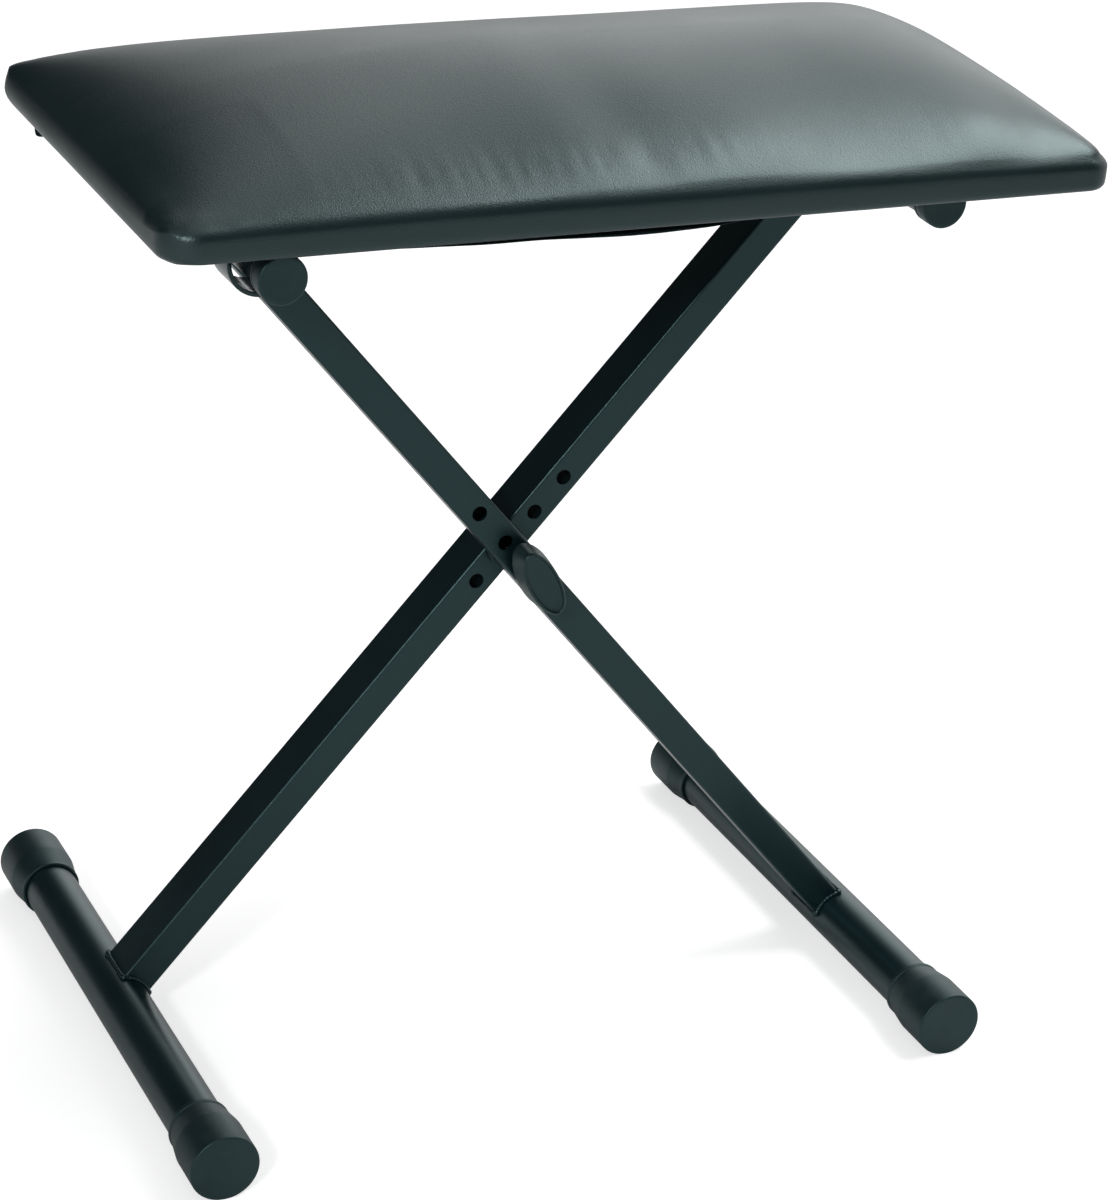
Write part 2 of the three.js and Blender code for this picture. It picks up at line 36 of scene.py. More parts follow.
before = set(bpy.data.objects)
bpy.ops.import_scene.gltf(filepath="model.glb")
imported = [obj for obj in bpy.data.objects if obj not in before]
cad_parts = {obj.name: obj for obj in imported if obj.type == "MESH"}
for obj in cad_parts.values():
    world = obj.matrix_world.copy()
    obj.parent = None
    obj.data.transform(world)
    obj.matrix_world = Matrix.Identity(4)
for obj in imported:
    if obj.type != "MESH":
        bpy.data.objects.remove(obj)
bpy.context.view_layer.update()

# Camera, fitted to the photograph's straight edges: a frame of 1108 x 1200
photo_width = 1108
photo_height = 1200
focal_pixels = 3450.17
centre_column = 475.07
centre_row = 683.51
azimuth = math.radians(-24.578)
elevation = math.radians(25.702)
roll = math.radians(3.481)
target = Vector((-22.1, -7.0, 197.7)) * MM
distance = 2017.0 * MM
sensor = 36


def place_camera():
    back = Vector((
        math.sin(azimuth) * math.cos(elevation),
        -math.cos(azimuth) * math.cos(elevation),
        math.sin(elevation),
    ))
    level = (-back).cross(Vector((0, 0, 1))).normalized()
    upright = level.cross(-back)
    right = level * math.cos(roll) + upright * math.sin(roll)
    up = upright * math.cos(roll) - level * math.sin(roll)
    data = bpy.data.cameras.new("camera")
    data.sensor_width = sensor
    data.lens = focal_pixels / photo_height * sensor
    data.shift_x = (photo_width / 2 - centre_column) / photo_height
    data.shift_y = (centre_row - photo_height / 2) / photo_height
    camera = bpy.data.objects.new("camera", data)
    bpy.context.scene.collection.objects.link(camera)
    turn = Matrix((right, up, back)).transposed().to_4x4()
    camera.matrix_world = Matrix.Translation(target + back * distance) @ turn
    bpy.context.scene.camera = camera


place_camera()
bpy.context.scene.view_settings.view_transform = "Standard"


class Link:
    """An output socket of a shader node, so that maths on it reads as plain expressions"""

    def __init__(self, paint, socket):
        self.paint = paint
        self.socket = socket

    def worked(self, operation, first, second):
        return self.paint.node("ShaderNodeMath", {"operation": operation}, {0: first, 1: second})

    def __add__(self, other):
        return self.worked("ADD", self, other)

    def __sub__(self, other):
        return self.worked("SUBTRACT", self, other)

    def __mul__(self, other):
        return self.worked("MULTIPLY", self, other)

    def __rsub__(self, other):
        return self.worked("SUBTRACT", other, self)

    __radd__ = __add__
    __rmul__ = __mul__


class Paint:
    """The node tree of one material or of the world"""

    def __init__(self, owner):
        owner.use_nodes = True
        self.tree = owner.node_tree
        self.tree.nodes.clear()

    def node(self, kind, settings, values, output=0):
        """A new node: its settings come first, then a value or a link for each socket named"""
        node = self.tree.nodes.new(kind)
        for name, setting in settings.items():
            setattr(node, name, setting)
        for name, value in values.items():
            socket = self.found(node.inputs, name)
            if isinstance(value, Link):
                self.tree.links.new(value.socket, socket)
            else:
                socket.default_value = value
        return Link(self, self.found(node.outputs, output)) if node.outputs else None

    def found(self, sockets, name):
        """A socket by its number, or else by its identifier, or else by its name"""
        if isinstance(name, int):
            return sockets[name]
        exact = [s for s in sockets if s.identifier == name]
        return exact[0] if exact else sockets[name]

    def mixed(self, share, first, second):
        values = {"Factor_Float": share, "A_Color": first, "B_Color": second}
        return self.node("ShaderNodeMix", {"data_type": "RGBA"}, values, "Result_Color")

    def place(self):
        return self.node("ShaderNodeTexCoord", {}, {}, "Object")

    def noise(self, scale, detail=2.0, roughness=0.5, stretch=None):
        where = self.place()
        if stretch:
            where = self.node("ShaderNodeMapping", {}, {"Vector": where, "Scale": stretch})
        values = {"Vector": where, "Scale": scale, "Detail": detail, "Roughness": roughness}
        return self.node("ShaderNodeTexNoise", {}, values, "Fac")

    def cells(self, scale):
        return self.node("ShaderNodeTexVoronoi", {}, {"Vector": self.place(), "Scale": scale}, "Distance")

    def range(self, value, low, high, new_low=0.0, new_high=1.0):
        values = {"Value": value, "From Min": low, "From Max": high, "To Min": new_low, "To Max": new_high}
        return self.node("ShaderNodeMapRange", {}, values)

    def bump(self, height, depth):
        return self.node("ShaderNodeBump", {}, {"Height": height, "Distance": depth, "Strength": 1.0})


finishes = {}

# Highlights of the black finishes lean toward blue-green, less so on the vinyl
cool = (0.6, 1, 1, 1)
cool_vinyl = (0.76, 1, 1, 1)


def finish(slot):
    """Empty material for one finish of the bench"""
    finishes[slot] = bpy.data.materials.new(slot)
    return Paint(finishes[slot])


def shade(paint, **values):
    """Principled shader with the values given, by the names of its sockets"""
    named = {name.replace("_", " ").title().replace("Ior", "IOR"): value for name, value in values.items()}
    surface = paint.node("ShaderNodeBsdfPrincipled", {}, named)
    paint.node("ShaderNodeOutputMaterial", {}, {"Surface": surface})


def powder_coat(slot, gloss):
    paint = finish(slot)
    peel = paint.noise(900, 2.0)
    fleck = paint.noise(4200, 1.0)
    cloud = paint.noise(9, 3.0)
    shade(
        paint,
        base_color=paint.mixed(
            paint.range(cloud, 0.35, 0.75), (0.0022, 0.0085, 0.0105, 1), (0.005, 0.014, 0.0165, 1),
        ),
        roughness=paint.range(cloud + fleck * 0.4, 0.45, 0.95, gloss - 0.04, gloss + 0.07),
        normal=paint.bump(peel * 0.7 + fleck * 0.3, 0.00009),
        specular_ior_level=0.55,
        specular_tint=cool,
    )


def moulded_rubber():
    paint = finish("cap_rubber")
    grain = paint.noise(2600, 2.0)
    wear = paint.noise(38, 4.0, 0.65)
    shade(
        paint,
        base_color=paint.mixed(
            paint.range(wear, 0.42, 0.8), (0.006, 0.014, 0.016, 1), (0.016, 0.028, 0.031, 1),
        ),
        roughness=paint.range(wear + grain * 0.3, 0.4, 1.0, 0.38, 0.54),
        normal=paint.bump(grain, 0.00006),
        specular_tint=cool,
    )


def knob_plastic():
    paint = finish("knob_plastic")
    spark = paint.noise(3400, 2.0)
    cloud = paint.noise(45, 2.0)
    shade(
        paint,
        base_color=paint.mixed(cloud, (0.006, 0.014, 0.016, 1), (0.012, 0.024, 0.026, 1)),
        roughness=paint.range(cloud, 0.3, 0.7, 0.38, 0.47),
        normal=paint.bump(spark, 0.00007),
        specular_tint=cool,
    )


def zinc_plate():
    paint = finish("zinc_steel")
    brushed = paint.noise(600, 3.0, 0.6, (1, 0.06, 1))
    stain = paint.noise(70, 3.0)
    shade(
        paint,
        base_color=paint.mixed(
            paint.range(stain, 0.4, 0.65), (0.56, 0.57, 0.58, 1), (0.5, 0.48, 0.42, 1),
        ),
        metallic=1.0,
        roughness=paint.range(brushed + stain, 0.6, 1.4, 0.24, 0.42),
        normal=paint.bump(brushed, 0.00002),
    )


def gloss_enamel():
    paint = finish("gloss_enamel")
    peel = paint.noise(320, 1.0)
    cloud = paint.noise(60, 3.0)
    shade(
        paint,
        base_color=paint.mixed(cloud, (0.004, 0.006, 0.007, 1), (0.009, 0.012, 0.013, 1)),
        roughness=paint.range(cloud, 0.3, 0.7, 0.1, 0.2),
        normal=paint.bump(peel, 0.00006),
        specular_tint=cool,
    )


def black_screw():
    paint = finish("black_screw")
    worn = paint.noise(900, 3.0)
    shade(
        paint,
        base_color=paint.mixed(paint.range(worn, 0.55, 0.8), (0.012, 0.013, 0.014, 1), (0.09, 0.09, 0.09, 1)),
        metallic=0.8,
        roughness=paint.range(worn, 0.3, 0.7, 0.28, 0.42),
        normal=paint.bump(worn, 0.00002),
    )


def nylon():
    paint = finish("nylon_spacer")
    cloud = paint.noise(140, 3.0)
    shade(
        paint,
        base_color=paint.mixed(cloud, (0.006, 0.012, 0.014, 1), (0.012, 0.02, 0.022, 1)),
        roughness=paint.range(cloud, 0.3, 0.7, 0.45, 0.6),
        normal=paint.bump(cloud, 0.00003),
        specular_tint=cool,
    )


def vinyl():
    paint = finish("seat_vinyl")
    pebble = paint.cells(950)
    fine = paint.cells(2000)
    cloud = paint.noise(16, 3.0)
    rubbed = paint.noise(5, 2.0)
    shade(
        paint,
        base_color=paint.mixed(cloud, (0.004, 0.0115, 0.0125, 1), (0.0075, 0.018, 0.0195, 1)),
        roughness=paint.range(cloud * 0.5 + rubbed * 0.5 + pebble * 0.15, 0.4, 0.75, 0.28, 0.37),
        normal=paint.bump(pebble * 0.5 + fine * 0.5, 0.0001),
        specular_ior_level=0.62,
        specular_tint=cool_vinyl,
    )


def foam():
    paint = finish("seat_foam")
    pores = paint.cells(1400)
    cloud = paint.noise(20, 3.0)
    shade(
        paint,
        base_color=paint.mixed(cloud, (0.56, 0.5, 0.34, 1), (0.44, 0.4, 0.3, 1)),
        roughness=paint.range(cloud, 0.3, 0.7, 0.88, 0.96),
        normal=paint.bump(pores, 0.0006),
    )


def plywood():
    paint = finish("plywood")
    grain = paint.noise(55, 5.0, 0.6, (0.12, 1, 1))
    plies = paint.node("ShaderNodeTexWave", {"bands_direction": "Z"}, {
        "Vector": paint.place(), "Scale": 80.0, "Distortion": 0.6, "Detail": 1.0,
    }, "Fac")
    shade(
        paint,
        base_color=paint.mixed(
            paint.range(grain + plies * 0.3, 0.4, 1.0), (0.5, 0.33, 0.17, 1), (0.3, 0.18, 0.085, 1),
        ),
        roughness=paint.range(grain, 0.3, 0.7, 0.7, 0.85),
        normal=paint.bump(grain, 0.0002),
    )


def lining_felt():
    paint = finish("lining_felt")
    fibres = paint.noise(1500, 4.0, 0.7, (1, 0.35, 1))
    points = paint.cells(620)
    shade(
        paint,
        base_color=paint.mixed(fibres, (0.003, 0.007, 0.008, 1), (0.008, 0.014, 0.015, 1)),
        roughness=paint.range(fibres, 0.3, 0.7, 0.85, 0.97),
        normal=paint.bump(fibres + points * 0.8, 0.00025),
        specular_tint=cool,
    )


powder_coat("powder_coat", 0.29)
powder_coat("weld_bead", 0.24)
moulded_rubber()
knob_plastic()
zinc_plate()
gloss_enamel()
black_screw()
nylon()
vinyl()
foam()
plywood()
lining_felt()


# Shaping: faces that meet at less than this angle are one smooth surface
flat_angle = math.radians(32)
merge_distance = 1e-6
hard_edge = 0.5 * MM


def new_piece(name, shape, slot, body, *stood_for, sharp=flat_angle, weighted=False):
    """Object of a finished shape, with its finish and the body that it moves with"""
    mesh = bpy.data.meshes.new(name)
    bmesh.ops.recalc_face_normals(shape, faces=shape.faces)
    shape.to_mesh(mesh)
    shape.free()
    return dressed(name, mesh, slot, body, *stood_for, sharp=sharp, weighted=weighted)


def dressed(name, mesh, slot, body, *stood_for, sharp=flat_angle, weighted=False):
    """The same from a finished mesh; it stands for the nodes named last"""
    mesh.shade_smooth()
    mesh.set_sharp_from_angle(angle=sharp)
    mesh.materials.clear()
    mesh.materials.append(finishes[slot])
    piece = bpy.data.objects.new(name, mesh)
    bpy.context.scene.collection.objects.link(piece)
    if weighted:
        even = piece.modifiers.new("even_normals", "WEIGHTED_NORMAL")
        even.keep_sharp = True
    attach(piece, body)
    if stood_for:
        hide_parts(*stood_for)
    return piece


def result(piece):
    """Mesh of a working object with its modifiers applied; the object is removed"""
    graph = bpy.context.evaluated_depsgraph_get()
    mesh = bpy.data.meshes.new_from_object(piece.evaluated_get(graph))
    bpy.data.objects.remove(piece)
    return mesh


def working(shape):
    """Object that carries a shape through its modifiers"""
    mesh = bpy.data.meshes.new("working")
    bmesh.ops.recalc_face_normals(shape, faces=shape.faces)
    shape.to_mesh(mesh)
    shape.free()
    piece = bpy.data.objects.new("working", mesh)
    bpy.context.scene.collection.objects.link(piece)
    return piece


def combined(shape, other, operation):
    """Union, intersection or difference of two shapes, as a new bmesh"""
    body = working(shape)
    tool = working(other)
    carve = body.modifiers.new("carve", "BOOLEAN")
    carve.operation = operation
    carve.solver = "EXACT"
    carve.object = tool
    mesh = result(body)
    bpy.data.objects.remove(tool)
    carved = bmesh.new()
    carved.from_mesh(mesh)
    return carved


def cut_away(shape, cutter):
    return combined(shape, cutter, "DIFFERENCE")


def spun(profile, steps):
    """Profile of [radius, y] points turned round the Y axis"""
    shape = bmesh.new()
    points = [shape.verts.new((radius, y, 0)) for radius, y in profile]
    lines = [shape.edges.new(pair) for pair in zip(points, points[1:])]
    bmesh.ops.spin(
        shape, geom=points + lines, cent=(0, 0, 0), axis=(0, 1, 0),
        angle=2 * math.pi, steps=steps, use_merge=True,
    )
    bmesh.ops.remove_doubles(shape, verts=shape.verts, dist=merge_distance)
    bmesh.ops.recalc_face_normals(shape, faces=shape.faces)
    return shape


def soften(shape, width, segments=2, angle=flat_angle, where=None):
    """The shape with its hard edges bevelled, or those of them that where() picks"""
    edges = [
        edge for edge in shape.edges
        if len(edge.link_faces) == 2 and edge.calc_face_angle(0) > angle and (not where or where(edge))
    ]
    bmesh.ops.bevel(
        shape, geom=edges, offset=width, offset_type="OFFSET", segments=segments, profile=0.5,
        affect="EDGES", clamp_overlap=True, material=-1,
    )
    return shape


def block(width, depth, height):
    """Box centred on the origin"""
    shape = bmesh.new()
    bmesh.ops.create_cube(shape, size=1)
    bmesh.ops.scale(shape, vec=(width, depth, height), verts=shape.verts)
    return shape


def moved(shape, matrix):
    bmesh.ops.transform(shape, matrix=matrix, verts=shape.verts)
    return shape


def joined(*shapes):
    """Several shapes as one"""
    whole = bmesh.new()
    for shape in shapes:
        mesh = bpy.data.meshes.new("part")
        shape.to_mesh(mesh)
        shape.free()
        whole.from_mesh(mesh)
        bpy.data.meshes.remove(mesh)
    return whole


def cylinder(radius, length, sides):
    """Closed cylinder along Y, centred on the origin"""
    shape = bmesh.new()
    bmesh.ops.create_cone(
        shape, cap_ends=True, segments=sides, radius1=radius, radius2=radius, depth=length,
    )
    return moved(shape, Matrix.Rotation(math.pi / 2, 4, "X"))


def middle(node):
    """Centre of a node's box"""
    low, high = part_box(node)
    return (low + high) / 2


def reach(node):
    """Size of a node's box"""
    low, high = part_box(node)
    return high - low


# Round bars and their rubber caps
bar_sides = 72
touch = 0.3 * MM
bar_wall = 1.5 * MM
cap_face = 4 * MM


def bar(name, body):
    """Round tube along Y with its ends eased"""
    node = f"{name}_bar"
    radius = reach(node).x / 2
    half = reach(node).y / 2
    inner = radius - bar_wall
    rim = 0.4 * MM
    shape = spun([
        (inner, -half + rim), (inner + rim, -half), (radius - rim, -half), (radius, -half + rim),
        (radius, half - rim), (radius - rim, half), (inner + rim, half), (inner, half - rim),
        (inner, -half + rim),
    ], bar_sides)
    moved(shape, Matrix.Translation(middle(node)))
    new_piece(f"{name}_tube", shape, "powder_coat", body, node)


def arc(centre, radius, start, end, steps):
    """Points of a profile on part of a circle"""
    angles = [math.radians(start + (end - start) * k / steps) for k in range(steps + 1)]
    return [(centre[0] + radius * math.cos(a), centre[1] + radius * math.sin(a)) for a in angles]


def cap(name, body, mouth_radius, flare, lip, floor_flat, bar_radius):
    """Moulded cap with its face at -Y: a faint dish in the face, a soft edge, a drawn-in mouth"""
    for end, turn in (("front", 0), ("rear", math.pi)):
        node = f"{name}_cap_{end}"
        size = reach(node)
        half = size.y / 2
        radius = size.x / 2
        edge = 1.1 * MM
        bore = bar_radius + touch
        shoulder = half - flare - lip
        neck = half - lip
        fall = (radius - mouth_radius) / flare
        soft = 0.5 * MM
        round_edge = arc((radius - edge, -half + edge), edge, -90, 0, 6)
        mouth_edge = arc((mouth_radius - 0.1 * MM, half - soft), soft, 0, 90, 3)
        profile = [
            (0, -half + 0.35 * MM), (0.35 * radius, -half + 0.33 * MM), (0.7 * radius, -half + 0.18 * MM),
            (radius - 2.1 * edge, -half + 0.03 * MM), *round_edge,
            (radius, shoulder - 2 * soft), (radius, shoulder - soft),
            (radius - fall * soft, shoulder + soft), (radius - 2 * fall * soft, shoulder + 2 * soft),
            (mouth_radius + 2 * fall * soft, neck - 2 * soft), (mouth_radius + fall * soft, neck - soft),
            (mouth_radius, neck), (mouth_radius + 0.1 * MM, neck + 0.3 * MM),
            (mouth_radius + 0.4 * MM, neck + 0.7 * MM), (mouth_radius + 0.4 * MM, half - 1.1 * MM),
            *mouth_edge, (bore + 0.3 * MM, half), (bore, half - 0.3 * MM),
            (bore, cap_face - half), (0, cap_face - half),
        ]
        shape = spun(profile, bar_sides)
        if floor_flat:
            level = bmesh.ops.bisect_plane(
                shape, geom=[*shape.verts, *shape.edges, *shape.faces],
                plane_co=(0, 0, floor_flat - radius), plane_no=(0, 0, -1), clear_outer=True,
            )
            rim = [e for e in level["geom_cut"] if isinstance(e, bmesh.types.BMEdge)]
            bmesh.ops.contextual_create(shape, geom=rim)
        moved(shape, Matrix.Rotation(turn, 4, "Z"))
        axis = Vector((middle(node).x, middle(node).y, middle(f"{name}_bar").z))
        moved(shape, Matrix.Translation(axis))
        new_piece(f"{name}_{end}_rubber", shape, "cap_rubber", body, node)


# The flare narrows a cap to its mouth, and the lip is the straight rim of the mouth
foot_cap = dict(mouth_radius=17.6 * MM, flare=15 * MM, lip=3 * MM, floor_flat=0.5 * MM, bar_radius=16 * MM)
top_cap = dict(mouth_radius=12.6 * MM, flare=3 * MM, lip=2 * MM, floor_flat=0, bar_radius=11 * MM)
for name, body, cap_sizes in (
    ("left_top", "front_frame", top_cap), ("right_foot", "front_frame", foot_cap),
    ("right_top", "rear_frame", top_cap), ("left_foot", "rear_frame", foot_cap),
):
    bar(name, body)
    cap(name, body, **cap_sizes)


# Leg tubes and welds
leg_width = 20 * MM
leg_depth = 30 * MM
leg_wall = 1.5 * MM
leg_corner = 1.5 * MM
leg_inner_corner = 0.9 * MM
spare = 10 * MM
hole_radius = 4.5 * MM
hole_pitch = 26 * MM
hole_places = (-1, 0, 1, 2)
pivot = Vector((middle("knob_stud").x, 0, middle("knob_stud").z))


def leg_turn(top_bar, foot_bar):
    """Lean of a leg from its foot bar to its top bar, and how far each bar is from the pivot"""
    top = middle(top_bar) - pivot
    foot = middle(foot_bar) - pivot
    lean = math.atan2(top.x - foot.x, top.z - foot.z)
    return lean, Vector((top.x, top.z)).length, Vector((foot.x, foot.z)).length


def tube_box(width, depth, length, corner):
    """Box with its four upright edges rounded"""
    shape = block(width, depth, length)
    bmesh.ops.bevel(
        shape, geom=[e for e in shape.edges if abs(e.verts[0].co.z - e.verts[1].co.z) > length / 2],
        offset=corner, offset_type="OFFSET", segments=5, profile=0.5, affect="EDGES", material=-1,
    )
    return shape


def leg(name, body, top_bar, foot_bar):
    """Rectangular tube with four bolt holes, hollowed to fit its two bars, and its two welds"""
    lean, above, below = leg_turn(top_bar, foot_bar)
    top_radius = reach(top_bar).x / 2 + touch
    foot_radius = reach(foot_bar).x / 2 + touch
    length = above + below
    centre = (above - below) / 2
    outer = moved(tube_box(leg_width, leg_depth, length, leg_corner), Matrix.Translation((0, 0, centre)))
    inner = tube_box(
        leg_width - 2 * leg_wall, leg_depth - 2 * leg_wall, length + 2 * spare, leg_inner_corner,
    )
    moved(inner, Matrix.Translation((0, 0, centre)))
    tube = cut_away(outer, inner)
    through = leg_depth + spare
    cutters = [
        moved(cylinder(top_radius, through, 96), Matrix.Translation((0, 0, above))),
        moved(cylinder(foot_radius, through, 96), Matrix.Translation((0, 0, -below))),
    ]
    for place in hole_places:
        hole = cylinder(hole_radius, through, 40)
        cutters.append(moved(hole, Matrix.Translation((0, 0, place * hole_pitch))))
    tube = cut_away(tube, joined(*cutters))
    bmesh.ops.remove_doubles(tube, verts=tube.verts, dist=merge_distance)
    outside = leg_depth / 2 - 0.01 * MM

    def rim(edge):
        return all(abs(v.co.y) > outside and abs(v.co.x) < leg_width / 2 - leg_corner for v in edge.verts)

    soften(tube, hard_edge, 3, math.radians(60), rim)
    place = Matrix.Translation((pivot.x, middle(name).y, pivot.z)) @ Matrix.Rotation(lean, 4, "Y")
    moved(tube, place)
    new_piece(f"{body}_leg", tube, "powder_coat", body, name, weighted=True)
    for end, up, radius, side in (("top", above, top_radius, -1), ("foot", -below, foot_radius, 1)):
        node = name.replace("tube", f"{end}_weld")
        bead(f"{body}_{end}_weld", body, place @ Matrix.Translation((0, 0, up)), radius, side, node)


def bead(name, body, place, bar_radius, side, node):
    """Rippled weld that follows the leg's outline where it meets the bar"""
    chance = Random(name)
    outline = []
    step = 0.5 * MM
    outside = 0.5 * MM
    half = Vector((leg_width / 2 + outside, leg_depth / 2 + outside))
    corner = leg_corner + outside
    for quarter, (to_x, to_y) in enumerate(((1, -1), (1, 1), (-1, 1), (-1, -1))):
        centre = Vector((to_x * (half.x - corner), to_y * (half.y - corner)))
        start = (quarter - 1) * math.pi / 2
        for k in range(7):
            angle = start + k / 6 * math.pi / 2
            outline.append(centre + corner * Vector((math.cos(angle), math.sin(angle))))
    points = []
    for first, second in zip(outline, outline[1:] + outline[:1]):
        count = max(1, round((second - first).length / step))
        points += [first.lerp(second, k / count) for k in range(count)]
    # The curve is one metre thick, so that each point's radius is the bead's own
    curve = bpy.data.curves.new(name, "CURVE")
    curve.dimensions = "3D"
    curve.bevel_depth = 1.0
    curve.bevel_resolution = 3
    line = curve.splines.new("POLY")
    line.points.add(len(points) - 1)
    line.use_cyclic_u = True
    ripple = 2.3 * MM
    walked = 0.0
    lap = 0.0
    for k, point in enumerate(points):
        walked += (point - points[k - 1]).length if k else 0
        if walked - lap > ripple:
            lap += ripple * chance.uniform(0.85, 1.15)
        # Thicker at the leg's corners, swelling once in each ripple, and a little uneven
        share = (walked - lap) / ripple
        from_corner = math.hypot(half.x - abs(point.x), half.y - abs(point.y))
        size = (1.15 + 0.75 * math.exp(-(from_corner / (4.5 * MM)) ** 2)) * MM
        size *= 0.84 + 0.26 * math.sin(math.pi * min(1, max(0, share)))
        size *= 1 + 0.3 * noise.noise(Vector((point.x, point.y, side * 0.01)) * 190)
        height = math.sqrt(max(0, bar_radius ** 2 - point.x ** 2))
        line.points[k].co = (point.x, point.y, side * (height + outside), 1)
        line.points[k].radius = size
    rope = bpy.data.objects.new("working", curve)
    bpy.context.scene.collection.objects.link(rope)
    mesh = result(rope)
    mesh.transform(place)
    dressed(name, mesh, "weld_bead", body, node, sharp=math.pi)


leg("front_leg_tube", "front_frame", "left_top_bar", "right_foot_bar")
leg("rear_leg_tube", "rear_frame", "right_top_bar", "left_foot_bar")


# Clamping bolt, with the radii of its bores
knob_tilt = math.radians(-60)
knob_bore = 4.3 * MM
knob_bore_depth = 15.3 * MM
washer_bore = 4.5 * MM
nut_bore = 4.25 * MM
nut_across = 13 * MM

# Rings from the knob's hub over its raised rim to its dished face, in mm: length, width, height
knob_rings = (
    (18, 18, 3), (22, 19.4, 3.02), (45.4, 20.4, 3.1), (46.5, 21.5, 3.4), (47, 22, 4.1), (46.8, 21.7, 6),
    (46.2, 20.8, 10), (45.5, 19.7, 14), (45.2, 19.2, 15.8), (45, 19, 16.4), (44.5, 18.5, 17.1),
    (43.5, 17.5, 17.5), (42.6, 16.6, 17.5), (42, 16, 17.3), (41.6, 15.6, 16.9), (41, 15, 16.2),
    (40, 14, 15.9), (36, 12.2, 15.8), (22, 7.6, 15.8), (8, 3, 15.8),
)


def oval_knob():
    """Oval grip on a round hub, standing out along -Y from its washer"""
    shape = bmesh.new()
    at = Vector(knob_rings[0][:2])
    bmesh.ops.create_circle(shape, cap_ends=False, segments=112, radius=at.x / 2 * MM)
    ring = list(shape.verts)
    height = 0
    for length, width, rise in knob_rings:
        loop = [e for e in shape.edges if all(v in ring for v in e.verts)]
        grown = bmesh.ops.extrude_edge_only(shape, edges=loop)
        ring = [v for v in grown["geom"] if isinstance(v, bmesh.types.BMVert)]
        bmesh.ops.translate(shape, vec=(0, 0, (rise - height) * MM), verts=ring)
        bmesh.ops.scale(shape, vec=(length / at.x, width / at.y, 1), verts=ring)
        at = Vector((length, width))
        height = rise
    bmesh.ops.contextual_create(shape, geom=ring)
    first = [e for e in shape.edges if e.is_boundary]
    bmesh.ops.contextual_create(shape, geom=first)
    bore = bmesh.new()
    bmesh.ops.create_cone(
        bore, cap_ends=True, segments=32, radius1=knob_bore, radius2=knob_bore, depth=2 * knob_bore_depth,
    )
    shape = cut_away(shape, bore)
    place = Matrix.Translation((pivot.x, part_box("clamp_knob")[1].y, pivot.z))
    moved(shape, place @ Matrix.Rotation(math.pi / 2, 4, "X") @ Matrix.Rotation(knob_tilt, 4, "Z"))
    new_piece("oval_knob", shape, "knob_plastic", "bolt", "clamp_knob", weighted=True)


def bolt_thread():
    """Rolled stud: a thread of 1.25 mm pitch, wound by a spin that climbs"""
    low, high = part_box("knob_stud")
    pitch = 1.25 * MM
    outer = 3.98 * MM
    root = 3.35 * MM
    turns = int((high.y - low.y - 3 * MM) / pitch)
    steps = 24
    shape = bmesh.new()
    profile = [(root, 0), (root, 0.12), (outer, 0.55), (outer, 0.7), (root, 1.0)]
    points = [shape.verts.new((radius, share * pitch, 0)) for radius, share in profile]
    lines = [shape.edges.new(pair) for pair in zip(points, points[1:])]
    bmesh.ops.spin(
        shape, geom=points + lines, cent=(0, 0, 0), axis=(0, 1, 0), dvec=(0, pitch / steps, 0),
        angle=2 * math.pi * turns, steps=steps * turns,
    )
    bmesh.ops.remove_doubles(shape, verts=shape.verts, dist=2 * merge_distance)
    length = turns * pitch
    for y, inward in ((0.75 * pitch, -1), (length, 1)):
        bmesh.ops.bisect_plane(
            shape, geom=[*shape.verts, *shape.edges, *shape.faces],
            plane_co=(0, y, 0), plane_no=(0, inward, 0), clear_outer=True,
        )
    bmesh.ops.holes_fill(shape, edges=[e for e in shape.edges if e.is_boundary])
    moved(shape, Matrix.Translation((pivot.x, low.y + 1.2 * MM, pivot.z)))
    tip = 1.8 * MM
    plug = spun([(0, 0), (3.3 * MM, 0), (3.3 * MM, 1 * MM), (2.9 * MM, tip), (0, tip)], 32)
    moved(plug, Matrix.Translation((pivot.x, high.y - tip, pivot.z)))
    new_piece("stud_thread", joined(shape, plug), "zinc_steel", "bolt", "knob_stud")


def washer(name, node, slot, body):
    """Turned ring with its outer edges eased"""
    radius = reach(node).x / 2
    half = reach(node).y / 2
    rim = min(0.4 * MM, half / 2)
    shape = spun([
        (washer_bore, -half), (radius - rim, -half), (radius, -half + rim), (radius, half - rim),
        (radius - rim, half), (washer_bore, half), (washer_bore, -half),
    ], 64)
    moved(shape, Matrix.Translation(middle(node)))
    new_piece(name, shape, slot, body, node)


def lock_nut():
    """Hexagon with turned corners and the raised collar of its locking ring"""
    height = reach("lock_nut").y
    collar = 2 * MM
    flat_end = (height - collar) / 2
    shape = cylinder(nut_across / math.sqrt(3), height - collar, 6)
    inside = 0.52 * nut_across
    beyond = 0.72 * nut_across
    dome = spun([
        (0, -height), (inside, -height), (inside, 0.1 * MM - flat_end),
        (beyond, 1.2 * MM - flat_end), (beyond, flat_end - 1.2 * MM),
        (inside, flat_end - 0.1 * MM), (inside, height), (0, height),
    ], 64)
    turned = cut_away(combined(shape, dome, "INTERSECT"), cylinder(nut_bore, 3 * height, 40))
    moved(turned, Matrix.Translation((0, -collar / 2, 0)))
    top = height / 2
    ring = spun([
        (nut_bore, top - collar), (5.9 * MM, top - collar), (5.9 * MM, top - 0.9 * MM),
        (5.4 * MM, top - 0.2 * MM), (5.0 * MM, top), (nut_bore, top), (nut_bore, top - collar),
    ], 48)
    shape = joined(turned, ring)
    moved(shape, Matrix.Translation(middle("lock_nut")))
    new_piece("collared_nut", shape, "zinc_steel", "rear_frame", "lock_nut")


